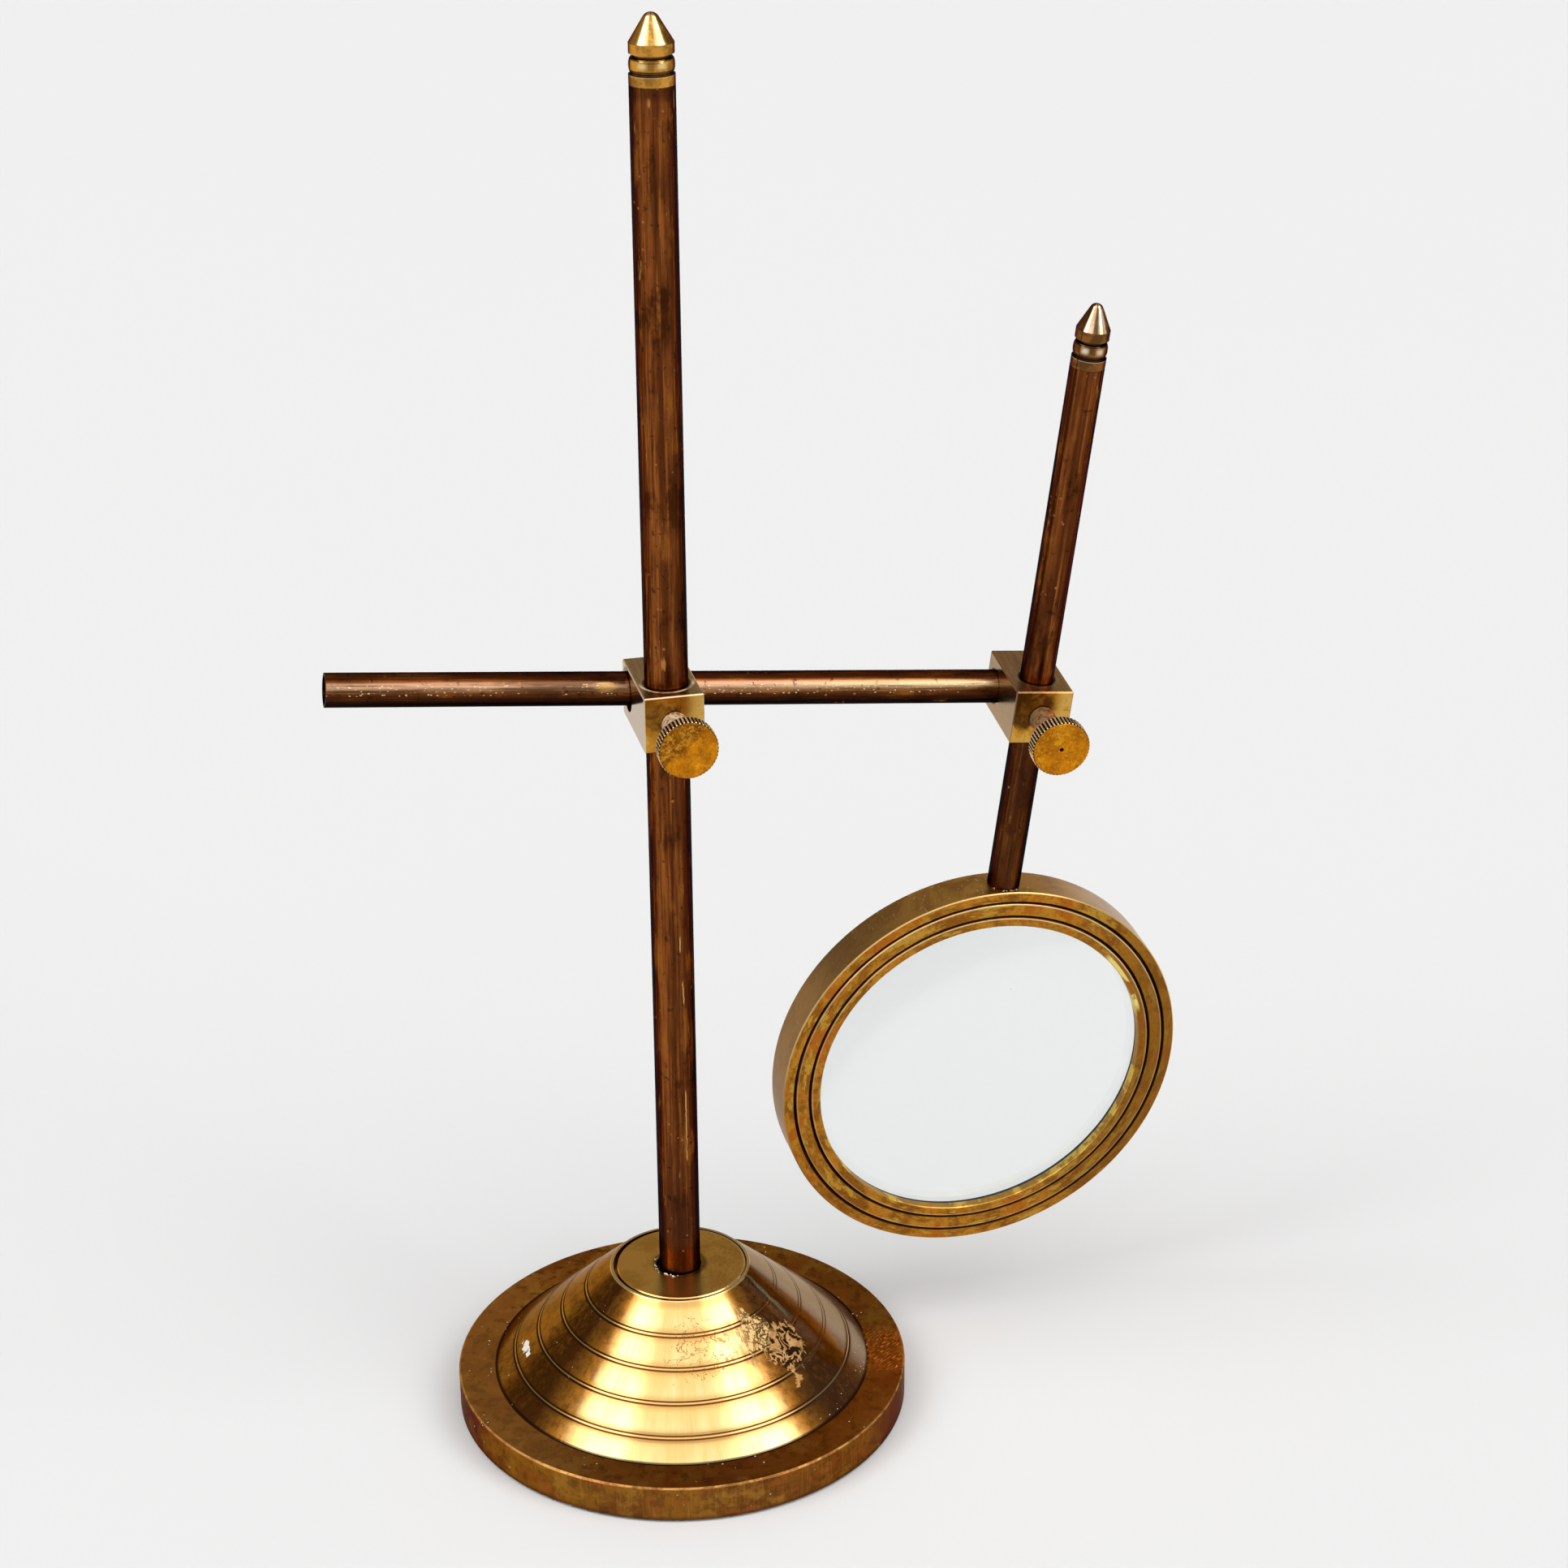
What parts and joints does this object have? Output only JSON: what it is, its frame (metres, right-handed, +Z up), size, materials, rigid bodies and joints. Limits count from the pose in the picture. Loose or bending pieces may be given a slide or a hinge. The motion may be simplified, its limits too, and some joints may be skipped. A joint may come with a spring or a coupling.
{
  "type": "magnifying glass on stand",
  "caption": "Large framed magnifying lens hanging from a knurl-clamped cross rod on a tall post with a weighted conical base.",
  "frame": {"origin": "centre of the underside of the base, on the axis of the upright post", "axes": "+Z up along the post, +X towards the lens side below the cross rod, -Y towards the thumbscrews and the viewer"},
  "size_m": [0.3291, 0.177, 0.5456],
  "materials": {
    "base_brass": "old lacquer, glossy, patinated",
    "cap_brass": "polished",
    "turned_brass": "turned, satin",
    "screw_brass": "knurled, matte",
    "block_brass": "brushed",
    "ring_brass": "turned, mottled",
    "copper": "drawn tube, dark copper tone",
    "iron": "rough",
    "steel": "plain",
    "pad_fibre": "matte",
    "gasket": "matte",
    "felt": "felt",
    "glass": "clear, polished"
  },
  "bodies": {
    "base": {"base_felt": "felt", "base_rim": "base_brass", "base_cone": "base_brass", "base_cap": "cap_brass", "base_weight": "iron", "base_screws": "steel"},
    "post": {"post_tube": "copper", "post_finial": "turned_brass", "post_foot_plug": "turned_brass", "post_foot_stud": "steel", "post_foot_washer": "steel", "post_foot_nut": "steel"},
    "post_clamp": {"post_clamp_block": "block_brass", "post_lock_pin": "turned_brass"},
    "post_pad": {"post_clamp_pad": "pad_fibre"},
    "post_screw": {"post_thumbscrew": "screw_brass"},
    "cross_rod": {"cross_rod": "copper"},
    "lens_clamp": {"lens_clamp_block": "block_brass", "lens_lock_pin": "turned_brass"},
    "lens_pad": {"lens_clamp_pad": "pad_fibre"},
    "lens_screw": {"lens_thumbscrew": "screw_brass"},
    "lens_rod": {"lens_rod": "copper", "lens_rod_finial": "turned_brass", "lens_rod_plug": "turned_brass"},
    "lens_head": {"lens_ring": "ring_brass", "lens_retaining_ring": "ring_brass", "lens_front_gasket": "gasket", "lens_rear_gasket": "gasket", "lens_glass": "glass", "lens_ring_stud": "steel"}
  },
  "joints": [
    {"name": "post_swivel", "type": "hinge", "parent": "base", "child": "post", "pos_m": [0, 0, 0.04], "axis": [0, 0, 1], "continuous": true},
    {"name": "post_clamp_slide", "type": "slide", "parent": "post", "child": "post_clamp", "axis": [0, 0, 1], "range_m": [-0.03, 0.215]},
    {"name": "cross_rod_slide", "type": "slide", "parent": "post_clamp", "child": "cross_rod", "axis": [0.9953, 0, -0.0969], "range_m": [-0.034, 0.108]},
    {"name": "lens_clamp_roll", "type": "hinge", "parent": "cross_rod", "child": "lens_clamp", "pos_m": [0.14054, 0.01786, 0.28167], "axis": [0.9953, 0, -0.0969], "continuous": true},
    {"name": "lens_rod_slide", "type": "slide", "parent": "lens_clamp", "child": "lens_rod", "axis": [-0.0965, 0.0948, -0.9908], "range_m": [-0.065, 0.03]},
    {"name": "lens_head_swivel", "type": "hinge", "parent": "lens_rod", "child": "lens_head", "pos_m": [0.13288, 0.0111, 0.20304], "axis": [0.0965, -0.0948, 0.9908], "continuous": true},
    {"name": "post_pad_slide", "type": "slide", "parent": "post_clamp", "child": "post_pad", "axis": [0, -1, 0], "range_m": [0, 0.0021]},
    {"name": "post_screw_turn", "type": "hinge", "parent": "post_pad", "child": "post_screw", "pos_m": [0, -0.03, 0.294], "axis": [0, -1, 0], "range_deg": [0, 720]},
    {"name": "lens_pad_slide", "type": "slide", "parent": "lens_clamp", "child": "lens_pad", "axis": [-0.0092, -0.9955, -0.0944], "range_m": [0, 0.0021]},
    {"name": "lens_screw_turn", "type": "hinge", "parent": "lens_pad", "child": "lens_screw", "pos_m": [0.14013, -0.02616, 0.2775], "axis": [-0.0092, -0.9955, -0.0944], "range_deg": [0, 720]}
  ],
  "couplings": [
    {"joint": "post_pad_slide", "follows": "post_screw_turn", "m_per_rad": 0.00015915},
    {"joint": "lens_pad_slide", "follows": "lens_screw_turn", "m_per_rad": 0.00015915}
  ]
}
